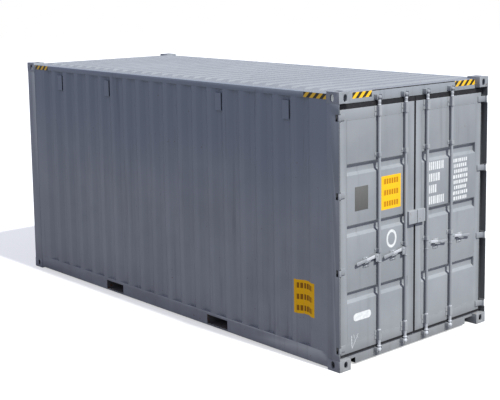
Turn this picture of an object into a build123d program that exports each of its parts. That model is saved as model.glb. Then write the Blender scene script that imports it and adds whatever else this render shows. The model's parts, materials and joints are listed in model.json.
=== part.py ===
from build123d import *
from math import cos, pi, radians, sin, tan
import os

# A 20 ft high-cube dry freight container. X runs along its length towards the doors,
# Y across it, Z up, and the origin is at the middle of its foot. All lengths in mm.

# Overall size, over the outer faces of the corner fittings
length = 6058.0
width = 2438.0
height = 2896.0
half_length = length / 2
half_width = width / 2
overrun = 20.0
round_sides = 10

# Corner fittings
fitting_length = 178.0
fitting_width = 162.0
fitting_height = 118.0
fitting_plate = 28.0
fitting_outer_wall = 16.0
fitting_inner_wall = 10.0
lock_hole_length = 124.5
lock_hole_width = 63.5
side_hole_height = 79.5
side_hole_width = 51.0
hole_from_end = 101.5
hole_from_side = 89.0
side_hole_rise = 64.0

# How far the frame lies inside the fittings
post_setback = 3.0
rail_setback = 6.0

# Corner posts at the door end: an outer plate with a channel inside it
post_plate = 6.0
channel_recess = 79.0
channel_depth = 40.0
channel_width = 90.0
channel_wall = 12.0

# Corner posts at the closed end
front_post_face = 110.0
front_post_return = 50.0

# Rails along the sides
bottom_rail_foot = 20.0
floor_level = 178.0
bottom_rail_wall = 4.5
bottom_rail_top_flange = 48.0
bottom_rail_foot_flange = 30.0
top_rail_side = 60.0
top_rail_wall = 3.0
roof_level_drop = 26.0

# Side walls
side_sheet = 2.0
side_wave_depth = 36.0
side_outer_flat = 72.0
side_inner_flat = 70.0
side_slope = 68.0
side_edge_flat = 150.0

# Wall at the closed end
front_sheet = 2.0
front_wave_depth = 45.0
front_outer_flat = 110.0
front_inner_flat = 104.0
front_slope = 18.0
front_wall_setback = 10.0
front_edge_flat = 80.0

# Roof
roof_sheet = 2.0
roof_wave_depth = 20.0
roof_top_flat = 100.0
roof_foot_flat = 73.0
roof_slope = 18.0
roof_end_slope = 50.0
roof_edge_flat = 60.0
roof_wave_margin = 95.0

# Vent covers near the top of the side walls, in the hollows of the sheet
vent_place_shares = (-0.78, -0.39, 0.39, 0.78)
vent_below_rail = 50.0
vent_height = 200.0
vent_depth = 24.0
vent_base_width = 69.0
vent_face_width = 104.0
vent_wall = 2.5

# Base
cross_member_height = 122.0
cross_member_flange = 45.0
cross_member_wall = 4.0
cross_member_pitch = 290.0
board_thickness = 28.0
centre_rail_width = 54.0
board_gap = 1.0
pocket_spacing = 2080.0
pocket_width = 370.0
pocket_height = 115.0
pocket_foot = 30.0
pocket_wall = 5.0
pocket_strap_width = 220.0
pocket_strap = 6.0

# Beams at the closed end
front_beam_depth = 60.0
front_beam_wall = 4.0

# Sill and header at the door end
door_recess = 52.0
beam_recess = 66.0
sill_foot = 20.0
sill_ledge = 128.0
sill_wall = 6.0
sill_notch_length = 137.0
sill_notch_top = 85.0
header_drop = 134.0
header_wall = 4.0
threshold_gap = 5.0

# Door leaves
leaf_foot_gap = 27.0
leaf_head_gap = 52.0
leaf_thickness = 50.0
leaf_from_side = 63.0
leaf_centre_gap = 28.0
stile_width = 100.0
leaf_rail_height = 115.0
leaf_tube_wall = 3.2
door_sheet = 2.0
door_wave_depth = 36.0
door_wave_flat = 70.0
door_wave_slope = 25.0
door_wave_top_shares = (0.779, 0.529, 0.2555)
seal_gap = 5.0
seal_centre_gap = 8.0

# Hinges
hinge_height_shares = (0.0286, 0.348, 0.6595, 0.9706)
hinge_pin_radius = 8.0
hinge_fit = 0.06
knuckle_radius = 15.0
knuckle_height = 66.0
hinge_lug = 8.0
hinge_lug_gap = 2.0
hinge_notch_depth = 54.0
hinge_strap = 10.0
hinge_strap_reach_share = 0.095

# Lock rods, their cams and keepers
rod_place_shares = (0.154, 0.5164)
rod_radius = 17.0
rod_standoff = 26.0
rod_below_ledge = 44.0
rod_above_header_foot = 56.0
cam_radius = 26.0
cam_height = 34.0
keeper_wall = 10.0
keeper_clearance = 6.0
keeper_height = 52.0
keeper_reach = 50.0
keeper_base = 6.0
guide_height_shares = (0.0415, 0.4012, 0.8004, 0.9789)
guide_wall = 5.0
guide_height = 44.0
end_guide_height = 100.0
guide_fit = 0.3
guide_foot = 24.0
guide_foot_thickness = 5.0

# Handles and their catches
handle_level_share = 0.3808
handle_past_catch = 172.0
handle_height = 38.0
handle_thickness = 9.0
handle_droop = 7.5
handle_pin_offset = 36.0
handle_pin_radius = 6.0
handle_pin_fit = 0.06
handle_cheek = 5.0
handle_cheek_gap = 0.5
handle_cheek_height = 84.0
handle_cheek_rise = 22.0
catch_place_share = 0.425
catch_width = 90.0
catch_height = 110.0
catch_plate = 6.0
catch_ledge = 8.0
catch_gap = 0.3

# Padlock box across the two leaves
lock_box_from_rod = 42.0
lock_box_foot_share = 0.4795
lock_box_height = 143.0
lock_box_reach = 40.0
lock_box_wall = 4.0

# Levels and faces that several pieces share
post_foot = fitting_height
post_top = height - fitting_height
side_face = half_width - post_setback
rail_face = half_width - rail_setback
frame_end = half_length - fitting_length
fitting_inner = half_width - fitting_width
roof_level = height - roof_level_drop
top_rail_foot = roof_level - top_rail_side
cross_member_foot = floor_level - board_thickness - cross_member_height
door_face = half_length - door_recess
leaf_back = door_face - leaf_thickness
beam_face = half_length - beam_recess
header_foot = height - header_drop
channel_face = side_face - post_plate - channel_depth
channel_front = half_length - channel_recess
lug_inner = channel_face + post_plate
notch_back = half_length - hinge_notch_depth
pin_x = half_length - post_setback - knuckle_radius
pin_y = side_face - knuckle_radius
rod_x = door_face + rod_standoff
leaf_edge = half_width - leaf_from_side
leaf_centre = leaf_centre_gap / 2
leaf_foot = sill_ledge + leaf_foot_gap
leaf_top = header_foot - leaf_head_gap
leaf_height = leaf_top - leaf_foot
inner_rod, outer_rod = (share * leaf_edge for share in rod_place_shares)
rod_places = (-outer_rod, -inner_rod, inner_rod, outer_rod)
rod_foot = sill_ledge - rod_below_ledge
rod_top = header_foot + rod_above_header_foot
catch_from_rod = catch_place_share * (outer_rod - inner_rod)
handle_length = catch_from_rod + handle_past_catch
handle_level = leaf_foot + handle_level_share * leaf_height
lock_box_edge = inner_rod - lock_box_from_rod
lock_box_foot = leaf_foot + lock_box_foot_share * leaf_height
hinge_strap_reach = hinge_strap_reach_share * leaf_edge
hinge_heights = [leaf_foot + share * leaf_height for share in hinge_height_shares]
guide_heights = [leaf_foot + share * leaf_height for share in guide_height_shares]
guide_sizes = (end_guide_height, guide_height, guide_height, end_guide_height)
side_pitch = side_outer_flat + side_inner_flat + 2 * side_slope
roof_pitch = roof_top_flat + roof_foot_flat + 2 * roof_slope


def block(x0, x1, y0, y1, z0, z1):
    """A box between two corners."""
    return Pos((x0 + x1) / 2, (y0 + y1) / 2, (z0 + z1) / 2) * Box(
        abs(x1 - x0), abs(y1 - y0), abs(z1 - z0)
    )


def plan_prism(points, z0, z1):
    """An outline seen from above, drawn up from z0 to z1."""
    return Pos(0, 0, z0) * extrude(make_face(Polyline(*points, close=True)), z1 - z0)


def end_prism(points, x0, x1):
    """An outline in Y and Z, seen along the length, drawn from x0 to x1."""
    plane = Plane(origin=(x0, 0, 0), x_dir=(0, 1, 0), z_dir=(1, 0, 0))
    return extrude(plane * make_face(Polyline(*points, close=True)), x1 - x0)


def side_prism(points, y0, y1):
    """An outline in X and Z, seen from the side, drawn from y0 to y1."""
    plane = Plane(origin=(0, y1, 0), x_dir=(1, 0, 0), z_dir=(0, -1, 0))
    return extrude(plane * make_face(Polyline(*points, close=True)), y1 - y0)


def across(shape):
    """The same shape on the other side of the container."""
    return mirror(shape, Plane.XZ)


def save(shape, name):
    """Write one named piece."""
    shape.label = name
    export_step(shape, f"parts/{name}.step")


def round_outline(radius, middle=(0, 0), start=0, turn=2 * pi):
    """Points round an arc, coarse enough to keep small pieces light."""
    steps = round(round_sides * turn / (2 * pi))
    full = turn == 2 * pi
    return [
        (
            middle[0] + radius * cos(start + turn * i / steps),
            middle[1] + radius * sin(start + turn * i / steps),
        )
        for i in range(steps if full else steps + 1)
    ]


def slot_face(overall, wide):
    """A slot along X with coarse round ends."""
    radius = wide / 2
    reach = overall / 2 - radius
    points = round_outline(radius, (reach, 0), -pi / 2, pi)
    points += round_outline(radius, (-reach, 0), pi / 2, pi)
    return make_face(Polyline(*points, close=True))


def disc(radius, thick):
    """A coarse disc about Z, centred."""
    face = make_face(Polyline(*round_outline(radius), close=True))
    return Pos(0, 0, -thick / 2) * extrude(face, thick)


def group(pieces):
    """Pieces that share a node without touching."""
    return Compound(children=list(pieces))


def wave_count(span, pitch, crest, edge):
    """How many waves fit in a span that keeps a flat edge at both ends."""
    return int((span - 2 * edge + crest) // pitch)


def wave_line(start, end, flats, slope, depth, edge):
    """A trapezoid wave from start to end: pairs of place and depth, 0 at the outer flat."""
    outer, inner = flats
    pitch = outer + inner + 2 * slope
    count = wave_count(end - start, pitch, outer, edge)
    line = [(start, 0)]
    at = (start + end - count * pitch + outer) / 2
    for _ in range(count):
        line += [(at, 0), (at + slope, depth)]
        line += [(at + slope + inner, depth), (at + 2 * slope + inner, 0)]
        at += pitch
    line.append((end, 0))
    return line


# Corner fittings


def corner_fitting():
    """A bottom fitting in the corner at +X and +Y."""
    x1, y1 = half_length, half_width
    x0, y0 = x1 - fitting_length, y1 - fitting_width
    body = block(x0, x1, y0, y1, 0, fitting_height)
    body -= block(
        x0 + fitting_inner_wall,
        x1 - fitting_outer_wall,
        y0 + fitting_inner_wall,
        y1 - fitting_outer_wall,
        fitting_plate,
        fitting_height - fitting_inner_wall,
    )
    foot_hole = extrude(SlotOverall(lock_hole_length, lock_hole_width), fitting_plate)
    body -= Pos(x1 - hole_from_end, y1 - hole_from_side, 0) * foot_hole
    oval = slot_face(side_hole_height, side_hole_width)
    end_plane = Plane(
        origin=(x1, y1 - hole_from_side, side_hole_rise),
        x_dir=(0, 0, 1),
        z_dir=(-1, 0, 0),
    )
    body -= extrude(end_plane * oval, fitting_outer_wall)
    side_plane = Plane(
        origin=(x1 - hole_from_end, y1, side_hole_rise),
        x_dir=(0, 0, 1),
        z_dir=(0, -1, 0),
    )
    body -= extrude(side_plane * oval, fitting_outer_wall)
    return body


def save_fittings():
    middle = Plane(origin=(0, 0, height / 2), z_dir=(0, 0, 1))
    for level in ("bottom", "top"):
        for end in ("door", "front"):
            for side in ("right", "left"):
                fitting = corner_fitting()
                if level == "top":
                    fitting = mirror(fitting, middle)
                if end == "front":
                    fitting = mirror(fitting, Plane.YZ)
                if side == "left":
                    fitting = across(fitting)
                save(fitting, f"fitting_{end}_{side}_{level}")


# Posts


def hinge_lug_pair(level):
    """Two lugs in the post's notch with the hinge pin between them."""
    half = knuckle_height / 2 + hinge_lug_gap
    tip = pin_x + knuckle_radius
    corner = knuckle_radius / 2
    outline = [
        (channel_front, side_face),
        (tip - corner, side_face),
        (tip, side_face - corner),
        (tip, pin_y - corner),
        (tip - corner, pin_y - knuckle_radius),
        (channel_front, lug_inner),
    ]
    pieces = [
        plan_prism(outline, foot, foot + hinge_lug)
        for foot in (level - half - hinge_lug, level + half)
    ]
    pin = Pos(pin_x, pin_y, level) * Cylinder(hinge_pin_radius, 2 * half)
    return pieces[0] + pieces[1] + pin


def door_post():
    """The post at +Y: outer plate, inner channel, notches and lugs for the hinges."""
    front = half_length - post_setback
    back = channel_front - channel_width
    post = block(frame_end, front, side_face - post_plate, side_face, post_foot, post_top)
    post += block(
        back, channel_front, channel_face, side_face - post_plate, post_foot, post_top
    )
    post -= block(
        back + channel_wall,
        channel_front - channel_wall,
        channel_face + channel_wall,
        side_face - post_plate,
        post_foot,
        post_top,
    )
    half_notch = knuckle_height / 2 + hinge_lug_gap + hinge_lug
    for level in hinge_heights:
        post -= block(
            notch_back,
            half_length + overrun,
            side_face - post_plate,
            half_width + overrun,
            level - half_notch,
            level + half_notch,
        )
    for level in hinge_heights:
        post += hinge_lug_pair(level)
    return post


def front_post():
    """The post at -X and +Y, pressed from one plate."""
    front = -half_length + post_setback
    inner = side_face - front_post_face
    outline = [
        (-frame_end, side_face),
        (front, side_face),
        (front, inner),
        (front + front_post_return, inner),
        (front + front_post_return, inner + post_plate),
        (front + post_plate, inner + post_plate),
        (front + post_plate, side_face - post_plate),
        (-frame_end, side_face - post_plate),
    ]
    return plan_prism(outline, post_foot, post_top)


# Rails


def bottom_rail():
    """The C rail at +Y, with windows for the fork pockets."""
    wall = bottom_rail_wall
    outline = [
        (rail_face, bottom_rail_foot),
        (rail_face, floor_level),
        (rail_face - bottom_rail_top_flange, floor_level),
        (rail_face - bottom_rail_top_flange, floor_level - wall),
        (rail_face - wall, floor_level - wall),
        (rail_face - wall, bottom_rail_foot + wall),
        (rail_face - bottom_rail_foot_flange, bottom_rail_foot + wall),
        (rail_face - bottom_rail_foot_flange, bottom_rail_foot),
    ]
    rail = end_prism(outline, -frame_end, frame_end)
    for sign in (-1, 1):
        middle = sign * pocket_spacing / 2
        rail -= block(
            middle - pocket_width / 2,
            middle + pocket_width / 2,
            rail_face - wall,
            half_width,
            pocket_foot,
            pocket_foot + pocket_height,
        )
    return rail


def top_rail():
    """The square tube at +Y."""
    inner = rail_face - top_rail_side
    tube = block(-frame_end, frame_end, inner, rail_face, top_rail_foot, roof_level)
    wall = top_rail_wall
    return tube - block(
        -frame_end,
        frame_end,
        inner + wall,
        rail_face - wall,
        top_rail_foot + wall,
        roof_level - wall,
    )


# Skins


def side_wall():
    """The corrugated sheet at +Y."""
    line = wave_line(
        -frame_end, frame_end, (side_outer_flat, side_inner_flat), side_slope,
        side_wave_depth, side_edge_flat,
    )
    outer = [(x, rail_face - depth) for x, depth in line]
    inner = [(x, y - side_sheet) for x, y in reversed(outer)]
    return plan_prism(outer + inner, floor_level, top_rail_foot)


def front_wall():
    """The corrugated sheet of the closed end."""
    edge = side_face - front_post_face
    line = wave_line(
        -edge, edge, (front_outer_flat, front_inner_flat), front_slope,
        front_wave_depth, front_edge_flat,
    )
    face = -half_length + front_wall_setback
    outer = [(face + depth, y) for y, depth in line]
    inner = [(x + front_sheet, y) for x, y in reversed(outer)]
    return plan_prism(outer + inner, floor_level, post_top)


def roof_wave(thinner, foot):
    """One pressed wave that stands up from foot, sloping at its sides and ends."""
    long_way = roof_top_flat / 2 - thinner
    across_way = rail_face - top_rail_side - roof_wave_margin - thinner
    top = foot + roof_wave_depth
    side_view = [
        (-long_way - roof_slope, foot), (long_way + roof_slope, foot),
        (long_way, top), (-long_way, top),
    ]
    end_view = [
        (-across_way, foot), (across_way, foot),
        (across_way - roof_end_slope, top), (roof_end_slope - across_way, top),
    ]
    return side_prism(side_view, -half_width, half_width) & end_prism(
        end_view, -roof_pitch, roof_pitch
    )


def roof():
    """The roof sheet between the top rails, pressed with waves across the length."""
    edge = rail_face - top_rail_side
    foot = roof_level - roof_sheet
    count = wave_count(2 * frame_end, roof_pitch, roof_foot_flat, roof_edge_flat)
    first = -(count - 1) * roof_pitch / 2
    places = [Pos(first + i * roof_pitch, 0, 0) for i in range(count)]
    wave = roof_wave(0, roof_level)
    hollow = roof_wave(roof_sheet, foot)
    sheet = block(-frame_end, frame_end, -edge, edge, foot, roof_level)
    sheet += [place * wave for place in places]
    return sheet - [place * hollow for place in places]


def vents():
    """Covers over the vent holes: pressed hoods, closed on top and open below."""
    hoods = []
    seat = rail_face - side_wave_depth
    top = top_rail_foot - vent_below_rail
    foot = top - vent_height
    for share in vent_place_shares:
        at = round(share * frame_end / side_pitch) * side_pitch
        base, face = vent_base_width / 2, vent_face_width / 2
        wall = vent_wall
        outline = [
            (at - base, seat), (at + base, seat),
            (at + face, seat + vent_depth), (at - face, seat + vent_depth),
        ]
        inner = [
            (at - base + wall, seat), (at + base - wall, seat),
            (at + face - 2 * wall, seat + vent_depth - wall),
            (at - face + 2 * wall, seat + vent_depth - wall),
        ]
        hood = plan_prism(outline, foot, top)
        hood -= plan_prism(inner, foot, top - wall)
        hoods += [hood, across(hood)]
    return group(hoods)


# Base


def cross_member(at):
    """A C section from side to side."""
    foot = cross_member_foot
    top = foot + cross_member_height
    wall = cross_member_wall
    edge = rail_face - bottom_rail_wall
    outline = [
        (at, foot),
        (at + cross_member_flange, foot),
        (at + cross_member_flange, foot + wall),
        (at + wall, foot + wall),
        (at + wall, top - wall),
        (at + cross_member_flange, top - wall),
        (at + cross_member_flange, top),
        (at, top),
    ]
    return side_prism(outline, -edge, edge)


def cross_members():
    """Rows of cross members, spread evenly before, between and behind the fork pockets."""
    half = pocket_spacing / 2
    side = pocket_width / 2 + pocket_wall + cross_member_flange
    members = []
    for start, end in (
        (-frame_end, -half - side), (-half + side, half - side), (half + side, frame_end),
    ):
        count = max(2, round((end - start) / cross_member_pitch))
        step = (end - start - cross_member_flange) / (count - 1)
        members += [cross_member(start + step * i) for i in range(count)]
    return group(members)


def fork_pocket(middle):
    """A tunnel from side to side: top plate, two webs and a strap under each end."""
    edge = rail_face - bottom_rail_wall
    half = pocket_width / 2
    foot = cross_member_foot
    top = floor_level - board_thickness
    pocket = block(
        middle - half - pocket_wall,
        middle + half + pocket_wall,
        -edge,
        edge,
        pocket_foot + pocket_height,
        top,
    )
    for sign in (-1, 1):
        web = middle + sign * half
        pocket += block(web, web + sign * pocket_wall, -edge, edge, foot, top)
        inner = edge - bottom_rail_foot_flange
        pocket += block(
            middle - half - pocket_wall,
            middle + half + pocket_wall,
            sign * inner,
            sign * (inner - pocket_strap_width),
            foot - pocket_strap,
            foot,
        )
    return pocket


def floor_boards():
    """Two plywood decks with the steel centre rail between them."""
    front = -half_length + front_wall_setback + front_beam_depth
    back = frame_end
    edge = rail_face - bottom_rail_top_flange
    half = centre_rail_width / 2
    foot = floor_level - board_thickness
    deck = block(front, back, half + board_gap, edge, foot, floor_level)
    rail = block(front, back, -half, half, foot, floor_level)
    return group([deck, across(deck), rail])


# End beams


def front_sill():
    """The hollow beam under the closed end."""
    face = -half_length + front_wall_setback
    back = face + front_beam_depth
    wall = front_beam_wall
    edge = side_face - front_post_face
    outline = [
        (-fitting_inner, bottom_rail_foot),
        (fitting_inner, bottom_rail_foot),
        (fitting_inner, post_foot),
        (edge, post_foot),
        (edge, floor_level),
        (-edge, floor_level),
        (-edge, post_foot),
        (-fitting_inner, post_foot),
    ]
    beam = end_prism(outline, face, back)
    return beam - block(
        face + wall,
        back - wall,
        -fitting_inner,
        fitting_inner,
        bottom_rail_foot + wall,
        floor_level - wall,
    )


def front_header():
    """The hollow beam over the closed end, with the plate that carries the roof."""
    face = -half_length + front_wall_setback
    back = face + front_beam_depth
    wall = front_beam_wall
    edge = fitting_inner
    beam = block(face, back, -edge, edge, post_top, roof_level)
    beam -= block(
        face + wall, back - wall, -edge, edge, post_top + wall, roof_level - wall
    )
    return beam + block(back, -frame_end, -edge, edge, roof_level - wall, roof_level)


def keeper(place, level):
    """A keeper on a beam: a base with a cheek each side of the cam."""
    inner = cam_radius + keeper_clearance
    outer = inner + keeper_wall
    base = block(
        beam_face, beam_face + keeper_base, place - outer, place + outer,
        level - keeper_height / 2, level + keeper_height / 2,
    )
    for sign in (-1, 1):
        base += block(
            beam_face, beam_face + keeper_reach,
            place + sign * inner, place + sign * outer,
            level - keeper_height / 2, level + keeper_height / 2,
        )
    return base


def door_sill():
    """The pressed sill under the doors, with a ledge, a threshold and the keepers."""
    wall = sill_wall
    step = leaf_back - threshold_gap
    outline = [
        (frame_end, sill_foot),
        (beam_face, sill_foot),
        (beam_face, sill_ledge),
        (step, sill_ledge),
        (step, floor_level),
        (frame_end, floor_level),
        (frame_end, floor_level - wall),
        (step - wall, floor_level - wall),
        (step - wall, sill_ledge - wall),
        (beam_face - wall, sill_ledge - wall),
        (beam_face - wall, sill_foot + wall),
        (frame_end, sill_foot + wall),
    ]
    sill = side_prism(outline, -channel_face, channel_face)
    for sign in (-1, 1):
        sill -= block(
            frame_end, half_length,
            sign * fitting_inner, sign * half_width,
            0, fitting_height,
        )
        sill -= block(
            frame_end, half_length,
            sign * (fitting_inner - sill_notch_length), sign * fitting_inner,
            0, sill_notch_top,
        )
    for place in rod_places:
        sill += keeper(place, rod_foot + cam_height / 2)
    return sill


def door_header():
    """The hollow beam over the doors with its keepers."""
    wall = header_wall
    beam = block(
        frame_end, beam_face, -channel_face, channel_face, header_foot, roof_level
    )
    for sign in (-1, 1):
        beam -= block(
            frame_end, half_length,
            sign * fitting_inner, sign * half_width,
            post_top, height,
        )
    beam -= block(
        frame_end + wall, beam_face - wall, -fitting_inner, fitting_inner,
        header_foot + wall, roof_level - wall,
    )
    for place in rod_places:
        beam += keeper(place, rod_top - cam_height / 2)
    return beam


# Doors, modelled on the right, at +Y


def door_frame():
    """Two stiles and two rails of rectangular tube."""
    frame = block(leaf_back, door_face, leaf_centre, leaf_edge, leaf_foot, leaf_top)
    frame -= block(
        leaf_back, door_face,
        leaf_centre + stile_width, leaf_edge - stile_width,
        leaf_foot + leaf_rail_height, leaf_top - leaf_rail_height,
    )
    wall = leaf_tube_wall
    for inner, outer in (
        (leaf_centre, leaf_centre + stile_width),
        (leaf_edge - stile_width, leaf_edge),
    ):
        frame -= block(
            leaf_back + wall, door_face - wall,
            inner + wall, outer - wall,
            leaf_foot + wall, leaf_top - wall,
        )
    return frame


def door_panel():
    """The sheet inside the frame with three waves across it."""
    foot = leaf_foot + leaf_rail_height
    top = leaf_top - leaf_rail_height
    outer = [(door_face, top)]
    for share in door_wave_top_shares:
        level = leaf_foot + share * leaf_height
        low = level - door_wave_slope
        outer += [(door_face, level), (door_face - door_wave_depth, low)]
        outer += [
            (door_face - door_wave_depth, low - door_wave_flat),
            (door_face, low - door_wave_flat - door_wave_slope),
        ]
    outer.append((door_face, foot))
    inner = [(x - door_sheet, z) for x, z in reversed(outer)]
    return side_prism(
        outer + inner, leaf_centre + stile_width, leaf_edge - stile_width
    )


def door_seal():
    """The rubber seal round the leaf."""
    outer = channel_face - seal_gap
    seal = block(
        leaf_back, door_face, seal_centre_gap / 2, outer,
        sill_ledge + seal_gap, header_foot - seal_gap,
    )
    return seal - block(
        leaf_back, door_face, leaf_centre, leaf_edge, leaf_foot, leaf_top
    )


def hinge_blade(level):
    """A knuckle on the pin with a strap that is welded to the leaf's face."""
    strap = hinge_strap
    run = pin_y - leaf_edge
    drop = pin_x - door_face
    outline = [
        (pin_x - strap, pin_y),
        (pin_x + strap / 2, pin_y - strap / 2),
        (pin_x - drop + strap + strap / 2, pin_y - run),
        (door_face + strap, pin_y - run - strap),
        (door_face + strap, pin_y - hinge_strap_reach),
        (door_face, pin_y - hinge_strap_reach),
        (door_face, pin_y - run - strap / 2),
    ]
    half = knuckle_height / 2
    blade = plan_prism(outline, level - half, level + half)
    blade += Pos(pin_x, pin_y, level) * disc(knuckle_radius, knuckle_height)
    bore = hinge_pin_radius + hinge_fit
    return blade - Pos(pin_x, pin_y, level) * Cylinder(bore, knuckle_height + overrun)


def rod_guide(place, level, tall):
    """A hat-shaped strap round the rod with a foot each side on the leaf's face."""
    inner = rod_radius + guide_fit
    outer = inner + guide_wall
    shoulder = guide_wall
    face, crown = door_face, rod_x + inner
    outline = [
        (face, place - outer - guide_foot),
        (face + guide_foot_thickness, place - outer - guide_foot),
        (face + guide_foot_thickness, place - outer),
        (crown, place - outer),
        (crown + guide_wall, place - outer + shoulder),
        (crown + guide_wall, place + outer - shoulder),
        (crown, place + outer),
        (face + guide_foot_thickness, place + outer),
        (face + guide_foot_thickness, place + outer + guide_foot),
        (face, place + outer + guide_foot),
        (face, place + inner),
        (crown, place + inner),
        (crown, place - inner),
        (face, place - inner),
    ]
    return plan_prism(outline, level - tall / 2, level + tall / 2)


def handle_drop(along):
    """How far the drooping handle lies below its pin at a distance from it."""
    return along * tan(radians(handle_droop))


def handle_catch(place):
    """A plate on the leaf with the ledge that the handle rests on."""
    along = catch_from_rod - handle_pin_offset
    half_bar = handle_height / 2 / cos(radians(handle_droop))
    middle = place + catch_from_rod
    near, far = middle - catch_width / 2, middle + catch_width / 2
    top_near = handle_level - handle_drop(along - catch_width / 2) - half_bar - catch_gap
    top_far = handle_level - handle_drop(along + catch_width / 2) - half_bar - catch_gap
    plate = block(
        door_face, door_face + catch_plate, near, far,
        top_far - catch_height / 2, top_far + catch_height / 2,
    )
    ledge = end_prism(
        [
            (near, top_near), (far, top_far),
            (far, top_far - catch_ledge), (near, top_near - catch_ledge),
        ],
        door_face, rod_x + handle_thickness,
    )
    return plate + ledge


def lock_box_half():
    """Half of the hooded box that guards the padlock, open below and at the gap."""
    wall = lock_box_wall
    outer = lock_box_edge
    inner = seal_centre_gap / 2
    top = lock_box_foot + lock_box_height
    front = door_face + lock_box_reach
    box = block(door_face, front, inner, outer, lock_box_foot, top)
    return box - block(
        door_face, front - wall, inner, outer - wall, lock_box_foot, top - wall
    )


def door_fittings():
    """Rod guides, handle catches and the lock box of one leaf."""
    pieces = [lock_box_half()]
    for place in rod_places[2:]:
        pieces += [
            rod_guide(place, level, tall) for level, tall in zip(guide_heights, guide_sizes)
        ]
        pieces.append(handle_catch(place))
    return group(pieces)


def cam(level):
    """The round cam at a rod's end."""
    return Pos(rod_x, 0, level + cam_height / 2) * disc(cam_radius, cam_height)


def lock_rod():
    """A rod with a cam at each end and the cheeks that hold its handle."""
    middle = (rod_foot + rod_top) / 2
    rod = Pos(rod_x, 0, middle) * disc(rod_radius, rod_top - rod_foot)
    rod += cam(rod_foot) + cam(rod_top - cam_height)
    cheek_inner = handle_thickness / 2 + handle_cheek_gap
    for sign in (-1, 1):
        rod += block(
            rod_x + sign * cheek_inner, rod_x + sign * (cheek_inner + handle_cheek),
            0, handle_pin_offset + handle_cheek_rise,
            handle_level + handle_cheek_rise - handle_cheek_height,
            handle_level + handle_cheek_rise,
        )
    pin = Pos(rod_x, handle_pin_offset, handle_level) * Rot(0, 90, 0) * Cylinder(
        handle_pin_radius, 2 * cheek_inner
    )
    return rod + pin


def handle():
    """A flat bar on its pin, drooping to its catch."""
    reach = handle_length - handle_pin_offset
    half = handle_height / 2
    x0, x1 = rod_x - handle_thickness / 2, rod_x + handle_thickness / 2
    bar = block(x0, x1, 0, reach - half, -half, half)
    for end in (0, reach - half):
        bar += Pos(rod_x, end, 0) * Rot(0, 90, 0) * disc(half, handle_thickness)
    bore = handle_pin_radius + handle_pin_fit
    bar -= Pos(rod_x, 0, 0) * Rot(0, 90, 0) * Cylinder(bore, handle_thickness)
    lean = Pos(0, handle_pin_offset, handle_level) * Rot(-handle_droop, 0, 0)
    return lean * bar


def save_doors():
    """Both leaves and what hangs on them."""
    for name, shape in (
        ("door_frame", door_frame()),
        ("door_panel", door_panel()),
        ("door_seal", door_seal()),
        ("door_hinges", group(hinge_blade(level) for level in hinge_heights)),
        ("door_fittings", door_fittings()),
    ):
        save(shape, f"right_{name}")
        save(across(shape), f"left_{name}")
    for number, place in enumerate(rod_places, 1):
        rod, bar = lock_rod(), handle()
        if place < 0:
            rod, bar = across(rod), across(bar)
        save(Pos(0, place, 0) * rod, f"lock_rod_{number}")
        save(Pos(0, place, 0) * bar, f"handle_{number}")


def save_pairs():
    """Pieces that are alike on both sides."""
    for name, shape in (
        ("door_post", door_post()),
        ("front_post", front_post()),
        ("bottom_rail", bottom_rail()),
        ("top_rail", top_rail()),
        ("side_wall", side_wall()),
    ):
        save(shape, f"{name}_right")
        save(across(shape), f"{name}_left")


os.makedirs("parts", exist_ok=True)
save_fittings()
save_pairs()
save_doors()
for piece_name, piece in (
    ("roof", roof()),
    ("front_wall", front_wall()),
    ("front_sill", front_sill()),
    ("front_header", front_header()),
    ("door_sill", door_sill()),
    ("door_header", door_header()),
    ("cross_members", cross_members()),
    ("fork_pockets", group(fork_pocket(end * pocket_spacing / 2) for end in (-1, 1))),
    ("floor", floor_boards()),
    ("vents", vents()),
):
    save(piece, piece_name)
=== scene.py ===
# %% [markdown]
# # Dressing a freight container
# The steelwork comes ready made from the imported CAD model, which Blender reads as a fixed
# frame. This lesson adds what makes it look real: a camera, light, paint and wear, and
# the small pieces that a plain CAD model leaves out. Every measure is in metres.

# %% Load the frame
import json
import math
from random import Random

import bmesh
import bpy
from mathutils import Matrix, Vector

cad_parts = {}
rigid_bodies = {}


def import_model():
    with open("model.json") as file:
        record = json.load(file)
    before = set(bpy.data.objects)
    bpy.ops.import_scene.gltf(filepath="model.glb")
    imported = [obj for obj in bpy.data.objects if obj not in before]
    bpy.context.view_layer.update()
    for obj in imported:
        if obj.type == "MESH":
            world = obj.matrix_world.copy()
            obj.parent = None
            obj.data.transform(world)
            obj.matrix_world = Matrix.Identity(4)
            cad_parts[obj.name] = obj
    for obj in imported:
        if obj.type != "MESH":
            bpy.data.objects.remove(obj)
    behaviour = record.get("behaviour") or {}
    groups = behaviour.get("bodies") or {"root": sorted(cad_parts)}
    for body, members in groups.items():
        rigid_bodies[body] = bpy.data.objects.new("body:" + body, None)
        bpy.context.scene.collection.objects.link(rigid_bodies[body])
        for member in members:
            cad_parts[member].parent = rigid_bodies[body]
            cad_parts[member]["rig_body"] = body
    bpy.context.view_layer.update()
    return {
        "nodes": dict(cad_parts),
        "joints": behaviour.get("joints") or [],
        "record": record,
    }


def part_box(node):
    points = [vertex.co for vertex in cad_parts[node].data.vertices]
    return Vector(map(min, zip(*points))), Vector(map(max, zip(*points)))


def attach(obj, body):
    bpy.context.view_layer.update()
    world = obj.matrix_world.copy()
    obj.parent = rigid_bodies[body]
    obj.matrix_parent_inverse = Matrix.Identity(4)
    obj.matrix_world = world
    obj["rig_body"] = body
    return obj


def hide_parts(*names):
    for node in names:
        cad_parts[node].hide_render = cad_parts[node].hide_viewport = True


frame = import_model()
MM = 0.001
link = bpy.context.scene.collection.objects.link


def direction(heading, height):
    """A unit vector from its angles round Z and above the ground, in degrees."""
    heading, height = math.radians(heading), math.radians(height)
    level = math.cos(height)
    return Vector((level * math.cos(heading), level * math.sin(heading), math.sin(height)))


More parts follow.
